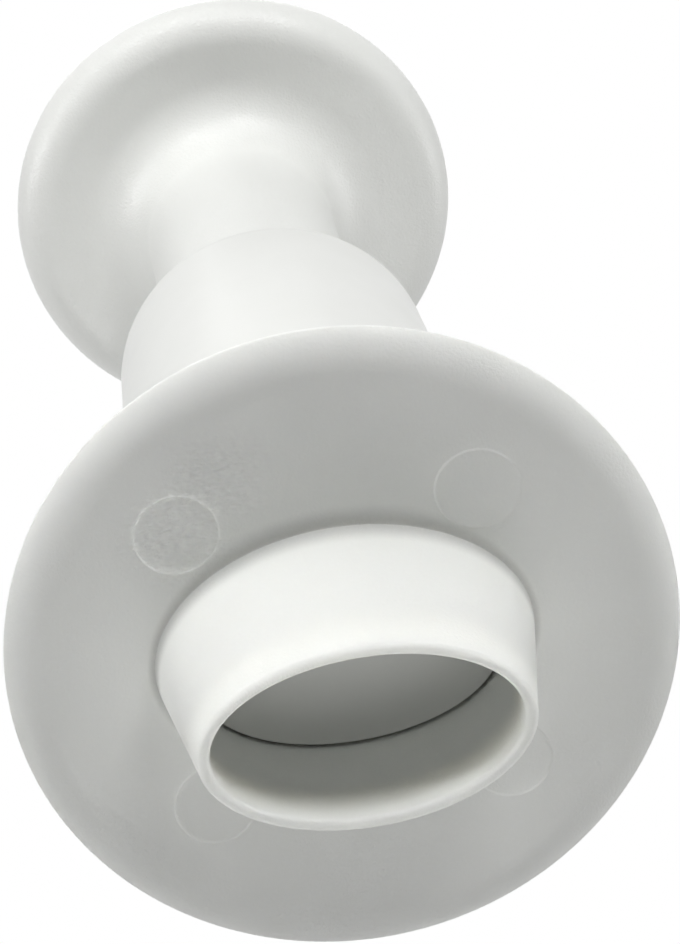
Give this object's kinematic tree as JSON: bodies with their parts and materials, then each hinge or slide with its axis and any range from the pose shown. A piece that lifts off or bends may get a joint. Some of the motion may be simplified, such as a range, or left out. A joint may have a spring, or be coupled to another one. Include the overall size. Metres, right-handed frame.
{
  "type": "plunger cutter",
  "caption": "Oval plunger cutter for rolled sugar paste: a ringed cutter base, a barrel and a sprung knob that pushes an ejector plate out of the cutter.",
  "frame": {"origin": "centre of the oval cutting rim, in the plane that the cutter stands on", "axes": "+Z runs from the cutting rim up to the knob, +X lies along the long axis of the oval"},
  "size_m": [0.034, 0.034, 0.0753],
  "materials": {
    "base_plastic": "white moulded plastic, fine matte grain on the flange and satin on the cutter wall",
    "barrel_plastic": "white moulded plastic, semi-gloss",
    "knob_plastic": "white moulded plastic with a fine sparkling grain",
    "plate_plastic": "white moulded plastic, satin",
    "spring_steel": "drawn spring steel wire"
  },
  "bodies": {
    "cutter": {"cutter_base": "base_plastic", "barrel": "barrel_plastic", "return_spring": "spring_steel"},
    "plunger": {"plunger_knob": "knob_plastic", "ejector_plate": "plate_plastic"}
  },
  "joints": [
    {"name": "plunger_slide", "type": "slide", "parent": "cutter", "child": "plunger", "axis": [0, 0, -1], "range_m": [0, 0.0085], "stiffness_N_per_m": 350, "springref_m": -0.005, "deforming": ["return_spring"]}
  ]
}
